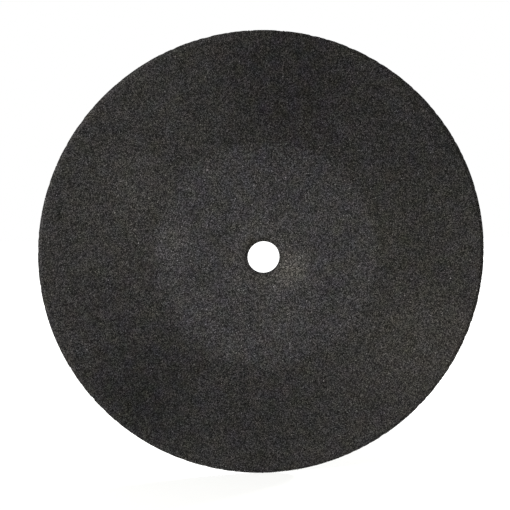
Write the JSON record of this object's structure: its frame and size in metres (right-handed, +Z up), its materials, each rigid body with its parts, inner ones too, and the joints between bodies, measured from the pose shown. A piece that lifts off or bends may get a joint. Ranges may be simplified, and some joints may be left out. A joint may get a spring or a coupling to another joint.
{
  "type": "grinding wheel",
  "caption": "Thin flat resin-bonded grinding and cutting wheel with a plain round bore, glass cloth inside and a metal bush.",
  "frame": {"origin": "centre of the bore at mid-thickness, which is the wheel's centre", "axes": "+Y along the wheel's axis, from the front face to the rear face; the front face looks towards -Y; +Z up, +X to the right seen from the front"},
  "size_m": [0.3556, 0.0032, 0.3556],
  "materials": {
    "abrasive_face": "dark charcoal grit in resin, even fine grain, matt with tiny glints",
    "abrasive_core": "dark charcoal grit in resin, matt",
    "glass_cloth": "flat glass yarns soaked in resin, dull straw white",
    "bush_metal": "thin rolled steel strip, black oxide, satin, worn brighter on its edges"
  },
  "bodies": {
    "root": {"front_abrasive_layer": "abrasive_face", "front_core_layer": "abrasive_core", "rear_core_layer": "abrasive_core", "rear_abrasive_layer": "abrasive_face", "front_mesh_warp": "glass_cloth", "front_mesh_weft": "glass_cloth", "hub_mesh_warp": "glass_cloth", "hub_mesh_weft": "glass_cloth", "rear_mesh_warp": "glass_cloth", "rear_mesh_weft": "glass_cloth", "arbor_bush": "bush_metal"}
  },
  "joints": []
}
